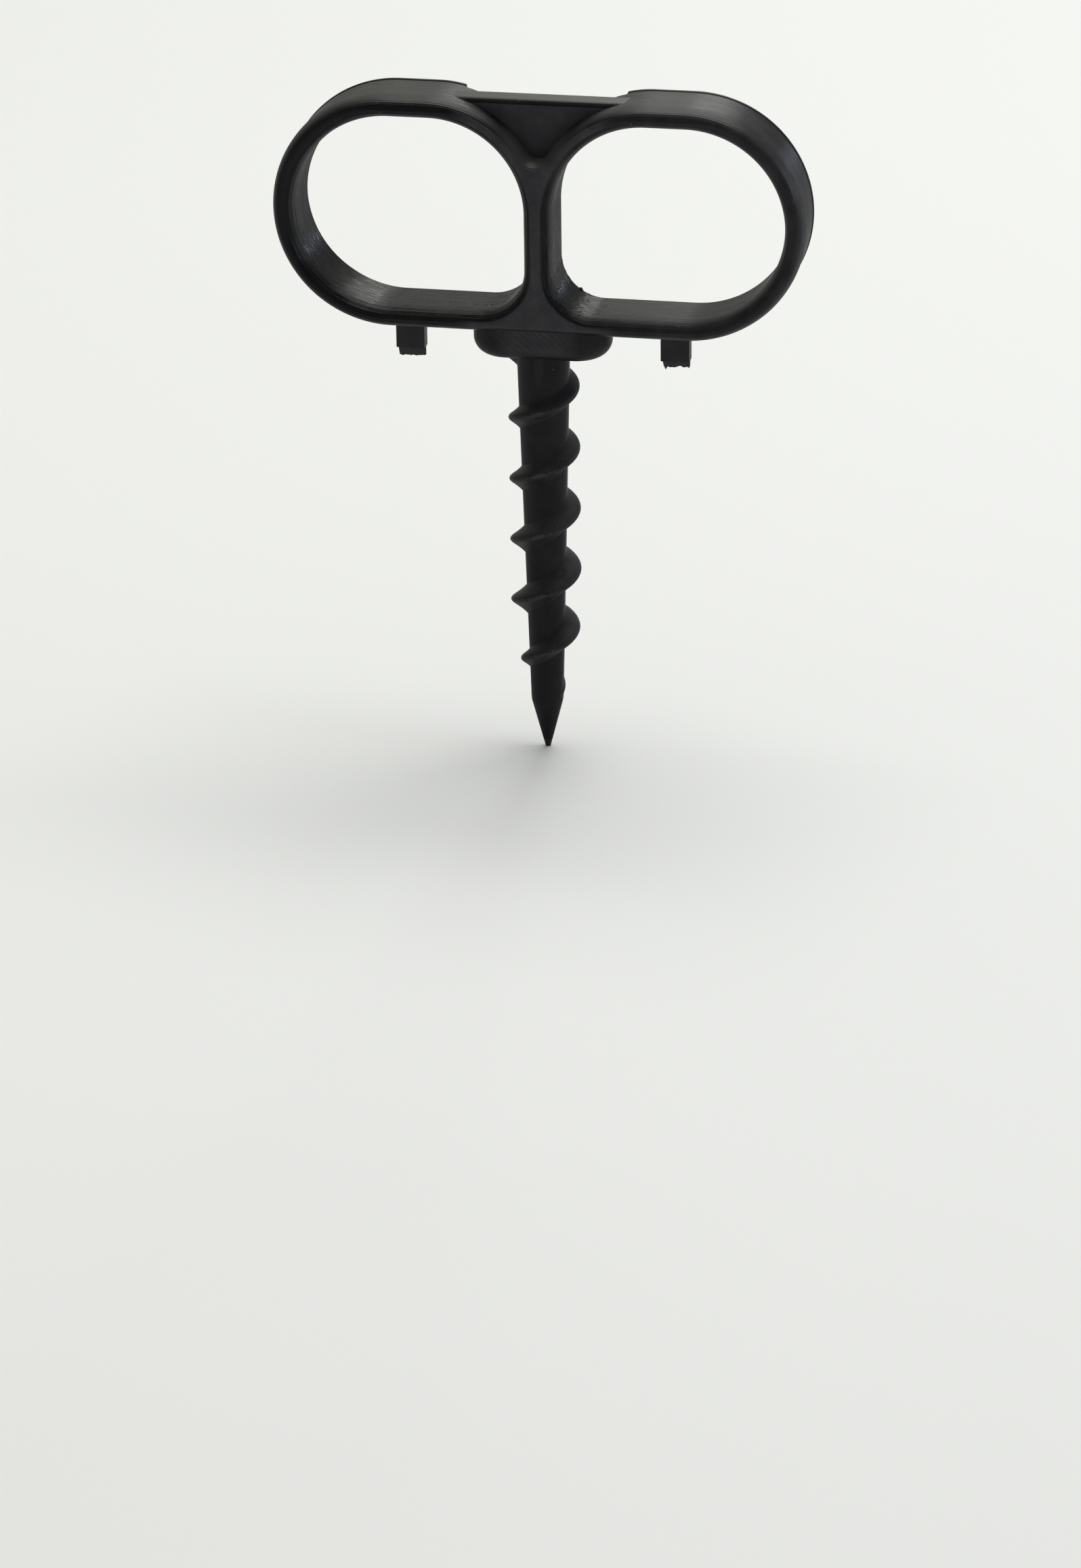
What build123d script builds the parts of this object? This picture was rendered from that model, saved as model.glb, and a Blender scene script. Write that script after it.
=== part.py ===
from build123d import *
from math import atan2, ceil, degrees, sqrt
import os

# A corkscrew that two fingers pull: two loops on a post, a hub and a right-hand worm.
# Millimetres. The worm's axis is Z, pointing up to the loops. X runs across the loops.
# The front is -Y. The origin is the middle of the hub's underside.

# Finger loops: from the post, a hole runs over a wide upper corner and a straight to a half-round end
handle_depth = 8.4
loop_height = 26.6
wall = 2.1
post_width = 2.9
upper_corner = 10.8
lower_corner = 5.0
top_straight = 4.45
front_round = 1.0

# Notch between the tops of the loops, and the thin web in it
notch_round = 1.0
web_thickness = 3.1
web_drop = 0.2
web_round = 0.5

# Hub under the loops
hub_width = 15.8
hub_depth = 8.0
hub_height = 3.4
hub_round = 2.0

# Tabs under the loops, each with the neck of a broken-off arm
tab_spacing = 30.3
tab_width = 3.1
tab_depth = 1.5
tab_height = 3.4
neck_width = 2.8
neck_depth = 0.7
neck_height = 0.8

# Worm
worm_length = 48.0
shank_length = 2.4
core_top = 6.0
core_foot = 3.7
point_length = 6.0
point_end = 0.6
flight_diameter = 8.1
flight_crest = 0.6
flight_bevel = 0.15
flight_slope = 0.7
flight_pitch = 7.35
flight_drop = 4.15
flight_run_in = 1.2
flight_fade = 9.0
flight_least = 0.1
flight_seat = 0.01
flight_headroom = 0.06
section_step = 20.0

# Places that follow from the sizes
loop_foot = hub_height
loop_middle = loop_foot + loop_height / 2
loop_top = loop_foot + loop_height
outer_radius = loop_height / 2
hole_radius = outer_radius - wall
half_post = post_width / 2
crown_x = half_post + upper_corner
end_x = crown_x + top_straight
crown_radius = upper_corner + wall
crown_z = loop_top - crown_radius
flight_foot = point_length + flight_crest - worm_length
flight_head = flight_crest / 3
notch_z = crown_z + sqrt((crown_radius + notch_round) ** 2 - crown_x ** 2)


def loop_blank():
    """Right half of the handle, without its finger hole and roundings."""
    meet = degrees(atan2(notch_z - crown_z, -crown_x))
    with BuildPart() as blank:
        with BuildSketch(Plane.XZ):
            with BuildLine():
                foot = Line((0, loop_foot), (end_x, loop_foot))
                end = CenterArc((end_x, loop_middle), outer_radius, -90, 180)
                top = Line(end @ 1, (crown_x, loop_top))
                crown = CenterArc((crown_x, crown_z), crown_radius, 90, meet - 90)
                notch = CenterArc((0, notch_z), notch_round, meet - 180, 90 - meet)
                Line(notch @ 1, foot @ 0)
            make_face()
        extrude(amount=handle_depth / 2, both=True)
    return blank.part


def finger_hole():
    """Cutter for the right finger hole: a D with a tight lower corner beside the post."""
    with BuildPart() as hole:
        with BuildSketch(Plane.XZ):
            with BuildLine():
                top = loop_middle + hole_radius
                foot = loop_middle - hole_radius
                upper = CenterArc((crown_x, top - upper_corner), upper_corner, 90, 90)
                lower = CenterArc((half_post + lower_corner, foot + lower_corner), lower_corner, 180, 90)
                end = CenterArc((end_x, loop_middle), hole_radius, -90, 180)
                Line(upper @ 1, lower @ 0)
                Line(lower @ 1, end @ 0)
                Line(end @ 1, upper @ 0)
            make_face()
        extrude(amount=handle_depth, both=True)
    return hole.part


def finger_loop(blank):
    """Right loop with its front edges rounded, apart from those on the middle plane."""
    loop = blank - finger_hole()
    front = loop.faces().sort_by(Axis.Y)[0]
    rims = [edge for edge in front.edges() if edge.center().X > post_width / 100]
    return fillet(rims, front_round)


def upper_web(blank):
    """Plate in the notch, cut to the outside of both loops."""
    height = loop_top - web_drop - loop_middle
    plate = Pos(0, 0, loop_middle) * Box(
        2 * crown_x, web_thickness, height, align=(Align.CENTER, Align.CENTER, Align.MIN)
    )
    plate = fillet(plate.faces().sort_by(Axis.Z)[-1].edges().filter_by(Axis.X), web_round)
    return plate - blank - mirror(blank, Plane.YZ)


def core_radius(z):
    """Radius of the core above its point: straight in the hub, tapering below it."""
    taper = (core_top - core_foot) / 2 / (worm_length - point_length)
    return core_top / 2 + taper * min(z, 0)


def worm_core():
    """Shank, tapering core and point, turned about the worm's axis."""
    with BuildPart() as core:
        with BuildSketch(Plane.XZ):
            with BuildLine():
                Polyline(
                    (0, shank_length),
                    (core_top / 2, shank_length),
                    (core_top / 2, 0),
                    (core_foot / 2, point_length - worm_length),
                    (point_end / 2, -worm_length),
                    (0, -worm_length),
                    close=True,
                )
            make_face()
        revolve(axis=Axis.Z)
    return core.part


def flight_section(z):
    """Tooth of the flight with its crest at height z, drawn in the plane through the worm's axis.

    It fades out towards both ends, and the hub's underside cuts it off flat.
    """
    core = core_radius(z)
    from_foot = flight_least + (z - flight_foot) / flight_fade
    from_head = flight_least + (flight_head - z) / flight_run_in
    strength = min(1, from_foot, from_head)
    height = (flight_diameter / 2 - core) * strength
    half_crest = flight_crest / 2
    half_root = half_crest + flight_slope * height
    crest_low = z - half_crest
    crest_high = min(z + half_crest, -flight_headroom)
    root_low = z - half_root
    root_high = min(z + half_root, -flight_headroom)
    side = core + height - flight_bevel * strength
    bevel = flight_bevel * (crest_high - crest_low) / flight_crest
    turn = 360 * (z + flight_drop) / flight_pitch
    with BuildSketch(Plane.XZ.rotated((0, 0, turn))) as tooth:
        with BuildLine():
            Polyline(
                (core_radius(root_low) + flight_seat, root_low),
                (side, crest_low),
                (core + height, crest_low + bevel),
                (core + height, crest_high - bevel),
                (side, crest_high),
                (core_radius(root_high) + flight_seat, root_high),
                close=True,
            )
        make_face()
    return tooth.sketch.face()


def worm_flight():
    """Helical blade, lofted through its teeth from above the point up to the hub."""
    rise = flight_head - flight_foot
    steps = ceil(360 * rise / flight_pitch / section_step)
    return loft([flight_section(flight_foot + rise * step / steps) for step in range(steps + 1)])


def hub(loops, core):
    """Shoulder block with a rounded underside, cut to seat on the loops and to take the worm's shank."""
    with BuildPart() as block:
        with BuildSketch():
            SlotOverall(hub_width, hub_depth)
        extrude(amount=hub_height + front_round)
        fillet(block.faces().sort_by(Axis.Z)[0].edges(), hub_round)
    solid = block.part
    for piece in [*loops, core]:
        solid = solid - piece
    return solid


def tab(loop):
    """Right tab, seated on the loop's underside, with the neck of the broken-off arm at its back."""
    align = (Align.CENTER, Align.CENTER, Align.MIN)
    foot = loop_foot - tab_height
    block = Pos(tab_spacing / 2, 0, foot) * Box(tab_width, tab_depth, tab_height + wall / 2, align=align)
    neck_y = (tab_depth - neck_depth) / 2
    neck = Pos(tab_spacing / 2, neck_y, foot - neck_height) * Box(
        neck_width, neck_depth, neck_height, align=align
    )
    return block + neck - loop


def build():
    blank = loop_blank()
    right_loop = finger_loop(blank)
    left_loop = mirror(right_loop, Plane.YZ)
    core = worm_core()
    right_tab = tab(right_loop)
    return {
        "left_finger_loop": left_loop,
        "right_finger_loop": right_loop,
        "upper_web": upper_web(blank),
        "hub": hub([left_loop, right_loop], core),
        "worm_core": core,
        "worm_flight": worm_flight(),
        "left_tab": mirror(right_tab, Plane.YZ),
        "right_tab": right_tab,
    }


os.makedirs("parts", exist_ok=True)
for name, shape in build().items():
    export_step(shape, f"parts/{name}.step")
    solids = shape.solids()
    print(name, len(solids), [round(solid.volume, 1) for solid in solids])
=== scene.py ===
import bmesh
import bpy
import math
import numpy as np
from mathutils import Matrix, Vector
from mathutils.geometry import tessellate_polygon


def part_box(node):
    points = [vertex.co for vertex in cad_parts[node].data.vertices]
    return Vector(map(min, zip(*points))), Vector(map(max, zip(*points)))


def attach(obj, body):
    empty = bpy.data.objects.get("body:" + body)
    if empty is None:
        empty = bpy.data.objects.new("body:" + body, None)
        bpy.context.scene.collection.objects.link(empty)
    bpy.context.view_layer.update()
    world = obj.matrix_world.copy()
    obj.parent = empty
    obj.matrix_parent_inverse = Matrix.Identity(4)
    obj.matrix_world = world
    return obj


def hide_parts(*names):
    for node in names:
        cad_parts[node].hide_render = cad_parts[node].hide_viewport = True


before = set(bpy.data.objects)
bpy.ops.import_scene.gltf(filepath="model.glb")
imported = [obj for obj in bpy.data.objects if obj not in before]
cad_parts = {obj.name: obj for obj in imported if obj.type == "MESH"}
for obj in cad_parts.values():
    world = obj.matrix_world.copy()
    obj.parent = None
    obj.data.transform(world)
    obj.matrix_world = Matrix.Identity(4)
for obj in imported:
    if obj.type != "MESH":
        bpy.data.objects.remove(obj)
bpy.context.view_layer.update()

# A printed corkscrew. Lengths are millimetres until a mesh is made, in the CAD model's frame:
# Z is up the worm's axis, X runs across the loops and the front is -Y.
MM = 0.001


def box_mm(node):
    """Lowest and highest corner of a CAD node."""
    low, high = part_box(node)
    return np.array(low) / MM, np.array(high) / MM


# Printing: layers are stacked from the back to the front
layer = 0.2
layer_edge = 0.02
step_share = 0.3
riser_power = 1.8
bead_depth = 0.028
bead_shares = (0, 0.2, 0.5, 0.8)
ripple_cycles = (3, 9)
ripple_steady, ripple_swing = 0.65, 0.35

# Meshes: the gap between points, the depth to which a piece stands in its neighbour,
# and the angles in degrees from which an edge is sharp
spacing = 0.45
seat_depth = 1.0
sharp_angle = 50
thin_sharp_angle = 40

# Loops
loop_low, loop_high = box_mm("right_finger_loop")
front, back = loop_low[1], loop_high[1]
loop_foot, loop_top = loop_low[2], loop_high[2]
loop_middle = (loop_foot + loop_top) / 2
outer_radius = (loop_top - loop_foot) / 2
end_x = loop_high[0] - outer_radius
wall = 2.1
post_width = 2.9
upper_corner = 10.8
lower_corner = 5.0
outer_nose = 1.05
hole_nose = 1.38
nose_depth = 2.2
notch_round = 1.5
hole_radius = outer_radius - wall
hole_top, hole_foot = loop_middle + hole_radius, loop_middle - hole_radius
half_post = post_width / 2
corner_x, corner_z = half_post + lower_corner, hole_foot + lower_corner
crown_x = half_post + upper_corner
crown_radius = upper_corner + wall
crown_z = loop_top - crown_radius
notch_z = crown_z + math.sqrt((crown_radius + notch_round) ** 2 - crown_x ** 2)
back_inset = 0.07
front_growth = 0.18
hole_top_growth = 0.2
lip = 0.11
lip_depth = 0.4
lip_end = 9.15
hole_lip_share = 0.2
back_round = 1.0
outside_ripple = 0.003

# Left hole: a broken groove in its floor and, at its outer end, a proud layer and a back that leans in
groove_depth = 0.07
groove_y = -0.7
groove_start, groove_end = 2.5, 7.0
groove_climb = 0.6
groove_dashes = 9.0
groove_gaps = -0.2
proud_growth = 0.05
proud_y = front + nose_depth + layer / 2
end_run = 6.0
end_lean = 0.17
lean_depth = 3.0

# Right hole, by the angles in its lower corner: blobs where layers start, and a scar at the back
corner_angle, half_corner = -135, 45
blob_growth = 0.035
blob_angle, blob_swing = -140, 30
blob_width = 1.8
blob_turns = (7.1, 11.3, 17.9, 23.3)
scar_growth = 0.24
scar_angle = -125
scar_width = 2.5
scar_depth = 0.4

# Web between the tops of the loops
web_low, web_high = box_mm("upper_web")
web_round = 0.5
web_side_points = 24
web_top_points = 12

# Hub
hub_low, hub_high = box_mm("hub")
hub_round = 2.0
hub_top = 4.4
hub_step_share = 0.15
hub_floor_points = 81
hub_side_points = 5

# Tabs
tab_low, tab_high = box_mm("right_tab")
tab_foot = 0.0
tab_growth = 0.08
tab_bevel = 0.02
tab_tear = 0.03
neck_front = 0.1
neck_inset = 0.15
neck_tear = 0.16
torn_points = 13

# Worm
core_low, core_high = box_mm("worm_core")
core_radius_top = core_high[0]
core_radius_foot = 1.85
core_points = 61
tongue_tip = 0.02
point_length = 6.0
point_radius = 0.3
point_top = core_low[2] + point_length
flight_high = box_mm("worm_flight")[1]
flight_radius = flight_high[0]
flight_crest = 0.6
flight_slope = 0.7
flight_pitch = 7.35
flight_drop = 4.15
flight_fade = 9.0
flight_run_in = 0.6
flight_root = 0.25
flight_fillet = 0.3
flight_turn_step = 1.5
flight_points = 12
crest_power = 12
fillet_power = 4


def line(start, end):
    """Points along a straight, and the side that they look to: the right of the way from start to end."""
    start, end = np.array(start), np.array(end)
    length = np.linalg.norm(end - start)
    count = max(2, math.ceil(length / spacing))
    share = np.arange(count)[:, None] / count
    way = (end - start) / length
    return start + share * (end - start), np.tile((way[1], -way[0]), (count, 1))


def arc(centre, radius, start, end, gap=spacing):
    """Points along an arc, and the side that they look to, as for a straight."""
    count = max(2, math.ceil(radius * math.radians(abs(end - start)) / gap))
    angle = np.radians(start + (end - start) * np.arange(count) / count)
    ray = np.column_stack((np.cos(angle), np.sin(angle)))
    return np.array(centre) + radius * ray, ray if end > start else -ray


def joined(*runs):
    """One outline from several runs: its points and its outward directions."""
    return np.concatenate([run[0] for run in runs]), np.concatenate([run[1] for run in runs])


def travelled(points):
    """Length along an outline up to each of its points."""
    return np.concatenate(([0], np.cumsum(np.linalg.norm(np.diff(points, axis=0), axis=1))))


def loop_outside():
    """Outside of the right loop, from the middle of its foot round to the notch."""
    meet = math.degrees(math.atan2(notch_z - crown_z, -crown_x))
    foot_of_notch = (np.array([[0, notch_z - notch_round]]), np.array([[0.0, 1.0]]))
    return joined(
        line((0, loop_foot), (end_x, loop_foot)),
        arc((end_x, loop_middle), outer_radius, -90, 90),
        line((end_x, loop_top), (crown_x, loop_top)),
        arc((crown_x, crown_z), crown_radius, 90, meet, spacing / 2),
        arc((0, notch_z), notch_round, meet - 180, -90, spacing / 4),
        foot_of_notch,
    )


def loop_hole():
    """Finger hole of the right loop, from the middle of its top and clockwise."""
    return joined(
        line((crown_x, hole_top), (end_x, hole_top)),
        arc((end_x, loop_middle), hole_radius, 90, -90),
        line((end_x, hole_foot), (corner_x, hole_foot)),
        arc((corner_x, corner_z), lower_corner, -90, -180, spacing / 3),
        line((half_post, corner_z), (half_post, hole_top - upper_corner)),
        arc((crown_x, hole_top - upper_corner), upper_corner, 180, 90),
    )


def layer_rows(first, last):
    """Rows of a stack of layers from front to back, each with the middle of its layer and its number."""
    count = round((last - first) / layer)
    rows = []
    for number in range(count):
        low = first + (last - first) * number / count
        high = first + (last - first) * (number + 1) / count
        inner_low = low + (layer_edge if number else 0)
        inner_high = high - (layer_edge if number < count - 1 else 0)
        rows.append((inner_low, (low + high) / 2, number))
        rows.append((inner_high, (low + high) / 2, number))
    return rows


def bead_rows(first, last):
    """Rows of a stack of layers with bulging edges: depth, middle of the layer, its number and its dip."""
    count = round((last - first) / layer)
    rows = []
    for number in range(count):
        middle = first + (number + 0.5) * (last - first) / count
        for share in bead_shares:
            y = first + (number + share) * (last - first) / count
            rows.append((y, middle, number, bead_depth * (2 * share - 1) ** 2))
    rows.append((last, middle, number, bead_depth))
    return rows


def printed_depth(y, middle, share=step_share):
    """Depth at which a layer's outline is taken: between its own and that of the layer's middle."""
    return middle + (1 - share) * (y - middle)


def stepped(y, middle, face, width, reach):
    """Inset of a rounded edge that is printed in layers: a quarter of an ellipse."""
    depth = abs(printed_depth(y, middle) - face)
    return width * (1 - math.sqrt(1 - max(0, 1 - depth / reach) ** 2))


def ripples(points, count, size, seed):
    """How far each layer's wall stands out along an outline: every layer differs a little."""
    rng = np.random.default_rng(seed)
    along = travelled(points)
    turn = 2 * math.pi * along / along[-1]
    waves = []
    for _ in range(count):
        cycles = rng.integers(*ripple_cycles)
        phase = rng.uniform(0, 2 * math.pi)
        swing = ripple_steady + ripple_swing * np.sin(cycles * turn + phase)
        waves.append(size * rng.normal() * swing)
    return np.array(waves)


def band_faces(first, count, stride):
    """Quads between a closed ring of points and the ring that is numbered stride further on."""
    faces = []
    for column in range(count):
        a, b = first + column, first + (column + 1) % count
        faces.append((a, b, b + stride, a + stride))
    return faces


def grid_faces(rows, columns):
    """Quads between neighbouring rings of points, numbered ring by ring."""
    return [face for row in range(rows - 1) for face in band_faces(row * columns, columns, columns)]


def cap_faces(loops, numbers):
    """Triangles that close one end of a stack, round its holes."""
    flat = [number for loop in numbers for number in loop]
    rings = [[Vector((x, z, 0)) for x, z in loop] for loop in loops]
    return [tuple(flat[corner] for corner in triangle) for triangle in tessellate_polygon(rings)]


def add_piece(name, node, vertices, faces, material, sharp):
    """A mesh piece that stands for a CAD node: it hangs under the root body, and the node is hidden."""
    mesh = bpy.data.meshes.new(name)
    mesh.from_pydata((np.asarray(vertices) * MM).tolist(), [], faces)
    bm = bmesh.new()
    bm.from_mesh(mesh)
    bmesh.ops.recalc_face_normals(bm, faces=bm.faces)
    bm.to_mesh(mesh)
    bm.free()
    mesh.shade_smooth()
    mesh.set_sharp_from_angle(angle=math.radians(sharp))
    mesh.materials.append(material)
    piece = bpy.data.objects.new(name, mesh)
    bpy.context.collection.objects.link(piece)
    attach(piece, "root")
    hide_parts(node)


def stack(outlines, levels):
    """Closed mesh of a stack of layers: one closed outline in X and Z for each level of Y."""
    rows, columns = len(levels), len(outlines[0])
    vertices = [(x, y, z) for y, outline in zip(levels, outlines) for x, z in outline]
    faces = grid_faces(rows, columns)
    for row in (0, rows - 1):
        numbers = list(range(row * columns, (row + 1) * columns))
        faces += cap_faces([outlines[row]], [numbers])
    return vertices, faces


def add_loop(name, node, side, ripple, seed, marks, material):
    """A finger loop: its outside and its hole, layer by layer, closed at the front, back and middle plane.

    The back edges have the lip of a print's first layers, but they are rounded in the notch.
    """
    outside, outside_way = loop_outside()
    hole, hole_way = loop_hole()
    in_notch = (outside[:, 0] < lip_end) & (outside[:, 1] > loop_middle)
    rows = bead_rows(front, back)
    layers = rows[-1][2] + 1
    outside_wave = ripples(outside, layers, outside_ripple, seed)
    hole_wave = ripples(hole, layers, ripple, seed + 1)
    vertices = []
    for y, middle, number, dip in rows:
        wall_growth = np.interp(y, (front, back), (front_growth, -back_inset)) - dip
        at_back = lip if middle > back - lip_depth else 0
        notch_inset = stepped(y, middle, back, back_round, back_round)
        outer_inset = stepped(y, middle, front, outer_nose, nose_depth)
        hole_inset = stepped(y, middle, front, hole_nose, nose_depth)
        outside_growth = wall_growth - outer_inset + outside_wave[number]
        outside_growth = outside_growth + np.where(in_notch, -notch_inset, at_back)
        hole_growth = wall_growth - hole_inset + hole_wave[number]
        hole_growth = hole_growth + hole_lip_share * at_back + marks(hole, middle)
        hole_growth = hole_growth + hole_top_growth * np.maximum(0, -hole_way[:, 1])
        outside_row = outside + outside_way * outside_growth[:, None]
        outside_row[[0, -1], 0] = 0
        hole_row = hole + hole_way * hole_growth[:, None]
        ring = np.concatenate((outside_row, hole_row))
        vertices += [(side * x, y, z) for x, z in ring]
    outer, inner = len(outside), len(hole)
    columns = outer + inner
    faces = []
    for row in range(len(rows) - 1):
        base = row * columns
        faces += band_faces(base, outer, columns) + band_faces(base + outer, inner, columns)
    for row in (0, len(rows) - 1):
        base = row * columns
        ring = [(x, z) for x, _, z in vertices[base:base + columns]]
        numbers = list(range(base, base + columns))
        faces += cap_faces([ring[:outer], ring[outer:]], [numbers[:outer], numbers[outer:]])
    add_piece(name, node, vertices, faces, material, sharp_angle)


def left_marks(hole, middle):
    """Left hole: a groove beside the post, and at the outer end a proud layer and a back that leans in."""
    x, z = hole.T
    on_floor = (z < hole_foot + groove_climb) & (x > half_post + groove_start) & (x < half_post + groove_end)
    dashes = np.sin(x * groove_dashes) > groove_gaps
    groove = np.where(on_floor & dashes & (abs(middle - groove_y) < layer), -groove_depth, 0.0)
    proud = np.where((x > end_x + end_run) & (abs(middle - proud_y) < layer / 2), proud_growth, 0.0)
    leaning = end_lean * np.clip((x - end_x) / end_run, 0, 1) * max(0, 1 - (back - middle) / lean_depth)
    return groove + proud + leaning


def right_marks(hole, middle):
    """Right hole: small blobs where layers start, and a larger one at the back of the lower corner."""
    x, z = hole.T
    angle = np.degrees(np.arctan2(z - corner_z, x - corner_x))
    marks = 0
    for turn in blob_turns:
        start = blob_angle + blob_swing * math.sin(middle * turn + turn)
        marks = marks + blob_growth * np.exp(-((angle - start) / blob_width) ** 2)
    if middle > back - scar_depth:
        marks = marks + scar_growth * np.exp(-((angle - scar_angle) / scar_width) ** 2)
    return np.where(abs(angle - corner_angle) < half_corner, marks, 0.0)


def add_web(material):
    """The plate in the notch, with its ends inside the loops."""
    top = web_high[2]
    reach = crown_radius - seat_depth
    start = math.degrees(math.acos((top - seat_depth - crown_z) / reach))
    angle = np.radians(np.linspace(90 + start, 180, web_side_points))
    right = np.column_stack((crown_x + reach * np.cos(angle), crown_z + reach * np.sin(angle)))
    left = right[::-1] * (-1, 1)
    across = np.linspace(-right[0, 0], right[0, 0], web_top_points)
    levels, outlines = [], []
    for y, middle, _ in layer_rows(web_low[1], web_high[1]):
        face = web_low[1] if y < 0 else web_high[1]
        height = top - stepped(y, middle, face, web_round, web_round)
        edge = np.column_stack((across, np.full(web_top_points, height)))
        outlines.append(np.concatenate((right, left, edge)))
        levels.append(y)
    vertices, faces = stack(outlines, levels)
    add_piece("upper_web_printed", "upper_web", vertices, faces, material, sharp_angle)


def add_hub(material):
    """The hub, sliced into layers: a block with round ends and a rounded underside."""
    half_depth = (hub_high[1] - hub_low[1]) / 2
    straight = hub_high[0] - half_depth
    share = np.sin(np.linspace(-math.pi / 2, math.pi / 2, hub_floor_points))
    sides = np.linspace(hub_top, hub_round, hub_side_points, endpoint=False)
    levels, outlines = [], []
    for y, middle, _ in layer_rows(hub_low[1], hub_high[1]):
        depth = printed_depth(y, middle, hub_step_share)
        width = straight + math.sqrt(max(0, half_depth ** 2 - depth ** 2))
        x = width * share
        inward = half_depth - np.hypot(np.maximum(np.abs(x) - straight, 0), depth)
        sunk = np.clip(hub_round - inward, 0, hub_round)
        z = hub_round - np.sqrt(hub_round ** 2 - sunk ** 2)
        left = np.column_stack((np.full(hub_side_points, -width), sides))
        right = left[::-1] * (-1, 1)
        outlines.append(np.concatenate((left, np.column_stack((x, z)), right)))
        levels.append(y)
    vertices, faces = stack(outlines, levels)
    add_piece("hub_printed", "hub", vertices, faces, material, sharp_angle)


def torn_edge(width, low, size, spike, seed):
    """Ragged lower edge of a broken-off arm, from its outer to its inner corner, where a spike hangs."""
    rng = np.random.default_rng(seed)
    x = np.linspace(width, -width, torn_points)
    z = low + size * rng.uniform(-1, 1, torn_points)
    z[-2] -= spike
    return np.column_stack((x, z))


def add_tab(name, node, side, neck_foot, spike, seed, material):
    """A tab: a block, and behind its front half the torn neck of the arm that it carried."""
    centre = (tab_low[0] + tab_high[0]) / 2
    half = (tab_high[0] - tab_low[0]) / 2 + tab_growth
    top = loop_foot + seat_depth
    levels, outlines = [], []
    for y, middle, number in layer_rows(tab_low[1], tab_high[1]):
        width, low, size, hang = half, tab_foot, tab_tear, 0
        if middle > neck_front:
            width, low, size, hang = half - neck_inset, neck_foot, neck_tear, spike
        edge = torn_edge(width, low, size, hang, seed + number)
        head = np.array([(-half, top), (half, top)])
        shoulder = np.array([(half, tab_foot + tab_bevel), (width, tab_foot)])
        outline = np.concatenate((head, shoulder, edge, shoulder[::-1] * (-1, 1)))
        outlines.append(outline * (side, 1) + (side * centre, 0))
        levels.append(y)
    vertices, faces = stack(outlines, levels)
    add_piece(name, node, vertices, faces, material, thin_sharp_angle)


def core_radius(z):
    """Radius of the worm's core at a height."""
    heights = [core_low[2], point_top, 0.0, core_high[2]]
    return np.interp(z, heights, [point_radius, core_radius_foot, core_radius_top, core_radius_top])


def core_end(depth):
    """Height at which the core gets too thin to reach a depth from its axis."""
    radii = [point_radius, core_radius_foot, core_radius_top]
    return np.interp(depth, radii, [core_low[2], point_top, 0.0])


def add_core(material):
    """The worm's core, sliced into layers. Each layer is a tongue that ends where the taper leaves it."""
    top = core_high[2]
    share = np.linspace(1, 0, core_points)
    levels, outlines = [], []
    for y, middle, _ in layer_rows(-core_radius_top, core_radius_top):
        depth = abs(printed_depth(y, middle))
        foot = core_end(depth)
        z = foot + (top - foot) * share ** 2
        x = np.sqrt(np.maximum(core_radius(z) ** 2 - depth ** 2, 0))
        right = np.column_stack((x, z))
        if depth > point_radius:
            right[-1, 0] = tongue_tip
        outlines.append(np.concatenate((right, right[::-1] * (-1, 1))))
        levels.append(y)
    vertices, faces = stack(outlines, levels)
    add_piece("worm_core_printed", "worm_core", vertices, faces, material, sharp_angle)


def in_layers(y):
    """Moves a depth towards the face of its printed layer, and leaves steep risers between the faces."""
    count = y / layer
    near = np.round(count)
    away = count - near
    return layer * (near + 0.5 * np.sign(away) * np.abs(2 * away) ** riser_power)


def add_flight(material):
    """The helical blade, one tooth section after another, in printed layers."""
    foot = point_top + flight_crest
    head = flight_crest / 3
    steps = round(360 * (head - foot) / flight_pitch / flight_turn_step)
    headroom = flight_high[2]
    share = np.sin(np.linspace(0, math.pi / 2, flight_points))
    crest = flight_crest / 2 * np.sqrt(1 - share ** crest_power)
    vertices = []
    for step in range(steps + 1):
        z = foot + (head - foot) * step / steps
        core = core_radius(z)
        strength = min(1, (z - foot) / flight_fade, (head - z) / flight_run_in)
        height = (flight_radius - core) * strength + flight_root
        radius = core - flight_root + height * share
        fillet = flight_fillet * strength * (1 - share) ** fillet_power
        flank = flight_slope * height * (1 - share) + fillet
        half = crest + flank
        radius = np.concatenate((radius, radius[-2::-1]))
        level = np.minimum(z + np.concatenate((-half, half[-2::-1])), headroom)
        turn = 2 * math.pi * (z + flight_drop) / flight_pitch
        vertices += zip(radius * math.cos(turn), in_layers(radius * math.sin(turn)), level)
    columns = 2 * flight_points - 1
    faces = grid_faces(steps + 1, columns)
    faces.append(tuple(range(columns)))
    faces.append(tuple(range(columns * steps, columns * (steps + 1))))
    add_piece("worm_flight_printed", "worm_flight", vertices, faces, material, thin_sharp_angle)


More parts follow.
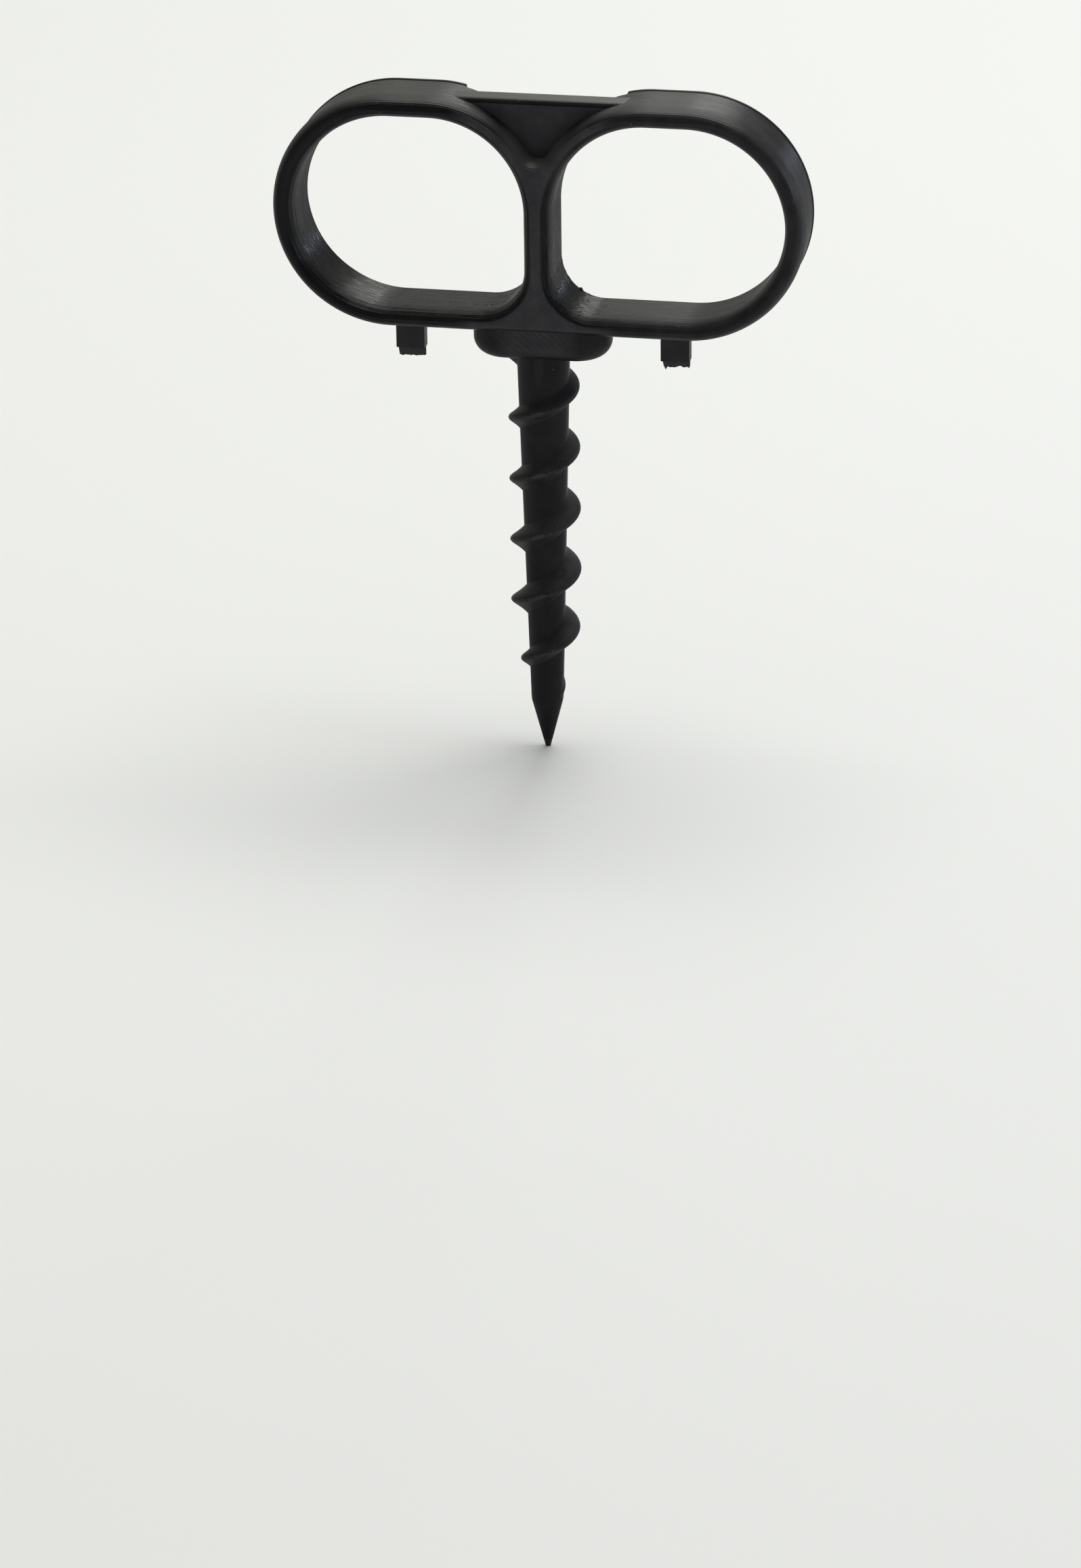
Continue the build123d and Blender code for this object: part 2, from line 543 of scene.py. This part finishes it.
class Nodes:
    """Short-hand for a material's or a world's node tree."""

    def __init__(self, owner):
        owner.use_nodes = True
        self.tree = owner.node_tree
        self.tree.nodes.clear()

    def add(self, kind, inputs=(), **settings):
        """A node with its settings and inputs. An input is a value or another node's socket."""
        node = self.tree.nodes.new(kind)
        for name, value in settings.items():
            setattr(node, name, value)
        for name, value in dict(inputs).items():
            self.put(node.inputs[name], value)
        return node

    def put(self, socket, value):
        """Sets a socket to a value, or links another node's socket to it."""
        if isinstance(value, bpy.types.NodeSocket):
            self.tree.links.new(value, socket)
        else:
            socket.default_value = value

    def math(self, operation, *values):
        """Result of a math node."""
        node = self.add("ShaderNodeMath", operation=operation)
        for socket, value in zip(node.inputs, values):
            self.put(socket, value)
        return node.outputs[0]

    def times(self, first, second):
        """Product of two values."""
        return self.math("MULTIPLY", first, second)

    def spread(self, value, low, high, to_low=0.0, to_high=1.0):
        """A value carried from one range to another, and kept within it."""
        names = ("Value", "From Min", "From Max", "To Min", "To Max")
        node = self.add("ShaderNodeMapRange", zip(names, (value, low, high, to_low, to_high)))
        return node.outputs[0]

    def scaled(self, vector, factors):
        """A vector with each of its parts multiplied by a factor."""
        return self.add("ShaderNodeVectorMath", {0: vector, 1: factors}, operation="MULTIPLY").outputs[0]

    def along(self, vector, way):
        """How far a vector points along a direction."""
        node = self.add("ShaderNodeVectorMath", {0: vector, 1: way}, operation="DOT_PRODUCT")
        return node.outputs["Value"]

    def noise(self, vector, scale, detail):
        """Noise between 0 and 1."""
        inputs = {"Vector": vector, "Scale": scale, "Detail": detail}
        return self.add("ShaderNodeTexNoise", inputs).outputs[0]

    def mix(self, share, first, second):
        """A colour between two others."""
        node = self.add("ShaderNodeMix", data_type="RGBA")
        for socket, value in zip((node.inputs[0], node.inputs[6], node.inputs[7]), (share, first, second)):
            self.put(socket, value)
        return node.outputs[2]


# Plastic: tones of its walls and faces, and of the painted light and specks laid on them with the share of
# the surface that they hide, and of torn plastic
dark_wall, pale_wall = (0.0045, 0.0043, 0.005), (0.0095, 0.009, 0.010)
dark_face, pale_face = (0.018, 0.017, 0.0195), (0.038, 0.0365, 0.041)
# Painted light: a pale colour on up-facing tops, for light from above, and on the notch's shaded walls, for
# fill light
painted_light_colour, painted_light_cover = (0.21, 0.21, 0.20, 1), 0.15
speck_colour, speck_cover = (0.20, 0.20, 0.19, 1), 0.4
torn_colour = (0.07, 0.07, 0.07, 1)

# Plastic: the noise's scale in X, Y and Z for marks along the layers, and the parts of its range that count
streak_stretch = (0.12, 6.0, 0.12)
dash_stretch = (0.5, 4.8, 0.5)
cloud_range = (0.3, 0.7)
dash_range = (0.53, 0.57)
speck_range = (0.775, 0.80)
infill_range = (0.35, 0.6)
infill_least = 0.2
mottle_share = 0.6

# Plastic: relief, and the places and lengths at which one surface passes to another
streak_height = 0.02
grain_height = 0.006
mottle_height = 0.05
infill_height = 0.03
infill_spacing = 0.85
infill_wander = 7.0
facing_range = (0.9, 0.99)
upward_range = (0.6, 0.95)
face_edge = 0.02
side_fade = 2.5
line_fade = 0.1
torn_fade = 0.1
torn_grain = 0.3
# Painted light: the walls are painted paler from right_painted_light_start to right_painted_light_end, for
# the light that falls on the right loop
right_painted_light_start, right_painted_light_end = 4.0, 14.0
# Painted light from above on tops fades in over painted_light_fade; painted fill light in the notch fades
# out between painted_notch_light_full and painted_notch_light_end
painted_light_fade = 1.0
painted_notch_light_full, painted_notch_light_end = 1.5, 5.0
shine_low_fade = 2.0
shine_side_fade = 1.0

# Plastic: refraction, what streaks, faces and tears add to or take from the roughness, and that of dashes
refraction = 1.3
streak_smoother, streak_rougher = 0.05, 0.07
face_rougher = 0.15
torn_rougher = 0.25
shine_roughness = 0.10


def toned(colour, level):
    """A colour made paler or darker, and opaque."""
    return (*(part * level for part in colour), 1)


def face_share(nodes, x, y, facing, depth, fade, reach):
    """Where a surface is a front or back face rather than a wall, as printed_plastic says."""
    if depth is None:
        return nodes.spread(nodes.math("ABSOLUTE", facing[1]), *facing_range)
    on_front = nodes.spread(y, fade - depth, face_edge - depth)
    near = nodes.spread(nodes.math("ABSOLUTE", x), reach, reach + side_fade, 1.0, 0.0)
    on_back = nodes.spread(y, depth - fade, depth - face_edge)
    return nodes.math("MAXIMUM", nodes.times(on_front, near), on_back)


def infill_lines(nodes, x, z, patches, mottle):
    """Wavering, slanting lines of a print's filling. They are stronger in some spots than in others."""
    wander = nodes.times(patches, infill_wander)
    slant = nodes.math("MULTIPLY_ADD", nodes.math("ADD", x, z), 2 * math.pi / infill_spacing, wander)
    strength = nodes.spread(mottle, *infill_range, infill_least, 1.0)
    return nodes.times(nodes.math("SINE", slant), strength)


def painted_light_share(nodes, x, z, facing, on_wall, lowest):
    """Where light is painted: in the notch as fill light on its shaded walls and, above the lowest height,
    as light from above on what looks up.
    """
    upward = nodes.spread(facing[2], *upward_range)
    on_top = nodes.times(upward, nodes.spread(z, lowest, lowest + painted_light_fade))
    above = nodes.math("SUBTRACT", z, notch_z)
    away = nodes.math("SQRT", nodes.math("MULTIPLY_ADD", x, x, nodes.times(above, above)))
    in_notch = nodes.times(on_wall, nodes.spread(away, painted_notch_light_full, painted_notch_light_end, 1.0, 0.0))
    return nodes.math("MAXIMUM", on_top, in_notch)


def shine_share(nodes, in_mm, x, z, on_wall):
    """Where dashes of smoother plastic lie: on low walls to the left of the right loop's floor."""
    dashes = nodes.noise(nodes.scaled(in_mm, dash_stretch), scale=1.0, detail=2.0)
    low = nodes.spread(z, loop_middle - shine_low_fade, loop_middle, 1.0, 0.0)
    left = nodes.spread(x, corner_x, corner_x + shine_side_fade, 1.0, 0.0)
    return nodes.times(nodes.spread(dashes, *dash_range), nodes.times(nodes.times(low, left), on_wall))


def printed_plastic(
    name, roughness, pale=1.0, wall_tone=1.0, right_painted_light_tone=None,
    face_depth=None, face_fade=0.12, face_reach=0.0,
    shine=False, infill=False, painted_light_height=None, edge_above=None, torn_below=None
):
    """Black plastic as printed: glossy walls with streaks along the layers, and rough front and back faces.

    roughness is that of the walls.
    pale multiplies the tone of the faces, and wall_tone that of the walls.
    The walls may pass at the right to the tone right_painted_light_tone, which is painted light: a paler
    tone for the light that falls on the right loop.
    Faces are what lies near face_depth in front of or behind the middle.
    Without face_depth, they are what looks to the front or back.
    They fade out over the depth face_fade, and front faces also beyond face_reach to the left and right.
    With shine, the low walls to the left of the right loop's floor have dashes of smoother plastic.
    With infill, the faces show the slanting lines of their filling.
    Light is painted in the notch, as fill light on its shaded walls, and above the height
    painted_light_height on what looks up, as light from above.
    Above the height edge_above, a face is the smooth line that runs along its edge.
    Below the height torn_below, the plastic is torn, pale and rough.
    """
    material = bpy.data.materials.new(name)
    nodes = Nodes(material)
    place = nodes.add("ShaderNodeTexCoord").outputs["Object"]
    in_mm = nodes.scaled(place, (1 / MM,) * 3)
    x, y, z = nodes.add("ShaderNodeSeparateXYZ", {0: in_mm}).outputs
    normal = nodes.add("ShaderNodeNewGeometry").outputs["True Normal"]
    facing = nodes.add("ShaderNodeSeparateXYZ", {0: normal}).outputs
    on_face = face_share(nodes, x, y, facing, face_depth, face_fade, face_reach)
    on_wall = nodes.math("SUBTRACT", 1.0, on_face)
    if edge_above is not None:
        on_face = nodes.times(on_face, nodes.spread(z, edge_above, edge_above + line_fade, 1.0, 0.0))

    streaks = nodes.noise(nodes.scaled(in_mm, streak_stretch), scale=1.0, detail=3.0)
    patches = nodes.noise(in_mm, scale=0.45, detail=2.0)
    mottle = nodes.noise(in_mm, scale=1.1, detail=2.0)
    grain = nodes.noise(in_mm, scale=9.0, detail=4.0)
    height = nodes.times(nodes.times(streaks, on_wall), streak_height)
    height = nodes.math("MULTIPLY_ADD", grain, grain_height, height)
    height = nodes.math("MULTIPLY_ADD", nodes.times(mottle, on_face), mottle_height, height)
    if infill:
        lines = nodes.times(infill_lines(nodes, x, z, patches, mottle), on_face)
        height = nodes.math("MULTIPLY_ADD", lines, infill_height, height)
    bump = nodes.add("ShaderNodeBump", {"Strength": 1.0, "Distance": MM, "Height": height})

    tone = nodes.spread(patches, *cloud_range)
    walls = nodes.mix(tone, toned(dark_wall, wall_tone), toned(pale_wall, wall_tone))
    # Painted light: towards the right the walls pass to a paler tone, for the light that falls on the right
    # loop.
    if right_painted_light_tone is not None:
        right_painted_light_walls = nodes.mix(tone, toned(dark_wall, right_painted_light_tone), toned(pale_wall, right_painted_light_tone))
        walls = nodes.mix(nodes.spread(x, right_painted_light_start, right_painted_light_end), walls, right_painted_light_walls)
    blend = nodes.math("MULTIPLY_ADD", mottle, mottle_share, nodes.times(tone, 1 - mottle_share))
    faces = nodes.mix(blend, toned(dark_face, pale), toned(pale_face, pale))
    colour = nodes.mix(on_face, walls, faces)
    # Painted light: up-facing tops and the notch's shaded walls are painted paler.
    if painted_light_height is not None:
        painted_light = painted_light_share(nodes, x, z, facing, on_wall, painted_light_height)
        colour = nodes.mix(nodes.times(painted_light, painted_light_cover), colour, painted_light_colour)
    specks = nodes.spread(nodes.noise(in_mm, scale=2.6, detail=1.0), *speck_range, 0.0, speck_cover)
    colour = nodes.mix(specks, colour, speck_colour)

    sheen = nodes.spread(streaks, *cloud_range, roughness - streak_smoother, roughness + streak_rougher)
    rough = nodes.math("MULTIPLY_ADD", on_face, face_rougher, sheen)
    if shine:
        smoother = shine_share(nodes, in_mm, x, z, on_wall)
        rough = nodes.math("MULTIPLY_ADD", smoother, shine_roughness - roughness, rough)
    if torn_below is not None:
        ragged_z = nodes.math("MULTIPLY_ADD", grain, torn_grain, z)
        torn = nodes.spread(ragged_z, torn_below + torn_fade, torn_below)
        colour = nodes.mix(nodes.times(torn, grain), colour, torn_colour)
        rough = nodes.math("MULTIPLY_ADD", torn, torn_rougher, rough)

    shader = nodes.add(
        "ShaderNodeBsdfPrincipled",
        {"Base Color": colour, "Roughness": rough, "Normal": bump.outputs[0], "IOR": refraction},
    )
    nodes.add("ShaderNodeOutputMaterial", {"Surface": shader.outputs[0]})
    return material


# Floor and card, in metres
floor_reach = 4.0
card_reach = 0.9
card_height = 0.001
floor_z = core_low[2] * MM


def matt_grey(name, dark, pale):
    """Matt grey surface, almost even."""
    material = bpy.data.materials.new(name)
    nodes = Nodes(material)
    place = nodes.add("ShaderNodeTexCoord").outputs["Object"]
    cloud = nodes.noise(place, scale=3.0, detail=2.0)
    colour = nodes.mix(cloud, (dark, dark, dark, 1), (pale, pale, pale, 1))
    inputs = {"Base Color": colour, "Roughness": 0.8, "Specular IOR Level": 0.1}
    shader = nodes.add("ShaderNodeBsdfPrincipled", inputs)
    nodes.add("ShaderNodeOutputMaterial", {"Surface": shader.outputs[0]})
    return material


def flat_square(name, reach, z, material):
    """Level square about the worm's axis, in metres."""
    corners = [(-reach, -reach, 0), (reach, -reach, 0), (reach, reach, 0), (-reach, reach, 0)]
    mesh = bpy.data.meshes.new(name)
    mesh.from_pydata(corners, [], [(0, 1, 2, 3)])
    mesh.materials.append(material)
    square = bpy.data.objects.new(name, mesh)
    square.location = (0, 0, z)
    bpy.context.collection.objects.link(square)
    return square


def add_floor():
    """Large plain floor under the point of the worm."""
    floor = flat_square("floor", floor_reach, floor_z, matt_grey("pale_floor", dark=0.84, pale=0.87))


def add_card():
    """Grey card on the floor round the object. Only reflections show it."""
    material = matt_grey("grey_card", dark=0.49, pale=0.52)
    card = flat_square("card", card_reach, floor_z + card_height, material)
    card.visible_camera = False
    card.visible_diffuse = False
    card.visible_shadow = False


def add_light(name, way, distance, size, power, colour):
    """Soft rectangular light that looks at the loops from one direction, in metres and watts."""
    data = bpy.data.lights.new(name, "AREA")
    data.shape = "RECTANGLE"
    data.size, data.size_y = size
    data.energy = power
    data.color = colour
    light = bpy.data.objects.new(name, data)
    aim = Vector((0, 0, loop_middle * MM))
    way = Vector(way).normalized()
    light.location = aim + way * distance
    light.rotation_mode = "QUATERNION"
    light.rotation_quaternion = (-way).to_track_quat("-Z", "Y")
    light.visible_camera = False
    bpy.context.collection.objects.link(light)


# Surroundings: where they are bright and where the gap is, with the angles at which it starts and is darkest
bright_way = (0.0, 0.8, 0.6)
dim_end, bright_start = -0.2, 0.95
dim_colour, bright_colour = (0.15, 0.15, 0.165, 1), (0.66, 0.67, 0.61, 1)
gap_way = Vector((0.36, 0.91, 0.17)).normalized()
gap_edge, gap_core = math.radians(25), math.radians(12)
gap_colour, gap_cover = (0.08, 0.08, 0.09, 1), 0.9


def add_surroundings():
    """Soft surroundings, bright behind and above the object, with a dark gap low behind it at the right."""
    world = bpy.data.worlds.new("studio")
    bpy.context.scene.world = world
    nodes = Nodes(world)
    way = nodes.add("ShaderNodeTexCoord").outputs["Generated"]
    bright = nodes.spread(nodes.along(way, bright_way), dim_end, bright_start)
    colour = nodes.mix(bright, dim_colour, bright_colour)
    gap = nodes.spread(nodes.along(way, gap_way), math.cos(gap_edge), math.cos(gap_core), 0.0, gap_cover)
    colour = nodes.mix(gap, colour, gap_colour)
    background = nodes.add("ShaderNodeBackground", {"Color": colour, "Strength": 1.0})
    nodes.add("ShaderNodeOutputWorld", {"Surface": background.outputs[0]})


# The photograph's camera: where it stands, and the pixel on which the middle of the loops falls
photo_width, photo_height = 1596, 2315
photo_azimuth, photo_elevation, photo_roll = 11.42, 17.57, -0.71
photo_focal = 8213
photo_distance = 622.8
middle_pixel = (799.8, 310.8)


def add_camera():
    """Camera at the photograph's place. It is turned so that the loops' middle falls on its pixel."""
    a, e, r = (math.radians(angle) for angle in (photo_azimuth, photo_elevation, photo_roll))
    away = Vector((math.sin(a) * math.cos(e), -math.cos(a) * math.cos(e), math.sin(e)))
    right = Vector((math.cos(a), math.sin(a), 0))
    up = away.cross(right)
    level = right * math.cos(r) + up * math.sin(r)
    upright = up * math.cos(r) - right * math.sin(r)
    seen_x = (middle_pixel[0] - photo_width / 2) / photo_focal
    seen_y = (photo_height / 2 - middle_pixel[1]) / photo_focal
    turn = Vector((0, 0, -1)).rotation_difference(Vector((seen_x, seen_y, -1))).to_matrix()
    axes = turn @ Matrix((level, upright, away))
    data = bpy.data.cameras.new("camera")
    data.sensor_width = 36
    data.lens = data.sensor_width * photo_focal / photo_height
    data.clip_start, data.clip_end = 0.01, 50
    camera = bpy.data.objects.new("camera", data)
    place = Vector((0, 0, loop_middle)) + away * photo_distance
    camera.matrix_world = Matrix.Translation(place * MM) @ axes.transposed().to_4x4()
    bpy.context.collection.objects.link(camera)
    bpy.context.scene.camera = camera


# Painted light: the loops' walls turn paler at the right for the light that falls there, and their up-facing
# tops and notch walls are painted paler for light from above and fill light.
loop_plastic = printed_plastic(
    "printed_loop", roughness=0.31, pale=1.5, right_painted_light_tone=2.8, face_depth=back, face_reach=7.0, shine=True,
    painted_light_height=loop_top - 1.5
)
# Painted light: the web's top and its walls near the notch are painted paler.
web_plastic = printed_plastic(
    "printed_web", roughness=0.36, pale=1.5, painted_light_height=web_high[2] - 1.0, edge_above=web_high[2] - 0.6
)
hub_plastic = printed_plastic(
    "printed_hub", roughness=0.36, pale=1.25, wall_tone=1.6, face_depth=hub_high[1], face_fade=0.6,
    face_reach=2.5, infill=True
)
core_plastic = printed_plastic(
    "printed_core", roughness=0.36, pale=0.7, wall_tone=1.3, face_depth=core_radius_top,
    face_reach=core_radius_top
)
flight_plastic = printed_plastic("printed_flight", roughness=0.46, pale=1.5, wall_tone=3.0)
tab_plastic = printed_plastic("printed_tab", roughness=0.36, torn_below=tab_foot)

add_loop(
    "left_finger_loop_printed", "left_finger_loop", side=-1, ripple=0.010, seed=11,
    marks=left_marks, material=loop_plastic
)
add_loop(
    "right_finger_loop_printed", "right_finger_loop", side=1, ripple=0.002, seed=23,
    marks=right_marks, material=loop_plastic
)
add_web(web_plastic)
add_hub(hub_plastic)
add_core(core_plastic)
add_flight(flight_plastic)
add_tab("left_tab_printed", "left_tab", side=-1, neck_foot=-1.2, spike=0.0, seed=40, material=tab_plastic)
add_tab("right_tab_printed", "right_tab", side=1, neck_foot=-0.85, spike=0.3, seed=60, material=tab_plastic)

add_floor()
add_card()
add_surroundings()
add_light(
    "overhead", way=(0.1, 0.25, 1.0), distance=0.9, size=(0.7, 0.7),
    power=5.6, colour=(1.0, 1.0, 0.97)
)
add_light(
    "back_window", way=(0.0, 0.93, 0.365), distance=0.9, size=(0.22, 0.16),
    power=0.7, colour=(0.95, 1.0, 0.95)
)
add_light(
    "right_window", way=(0.92, 0.15, 0.22), distance=0.8, size=(0.5, 0.3),
    power=1.2, colour=(0.75, 0.85, 1.0)
)
add_light(
    "low_window", way=(0.35, 0.93, 0.01), distance=0.9, size=(0.07, 0.05),
    power=0.16, colour=(0.72, 0.82, 1.0)
)
add_camera()
bpy.context.scene.view_settings.view_transform = "Standard"
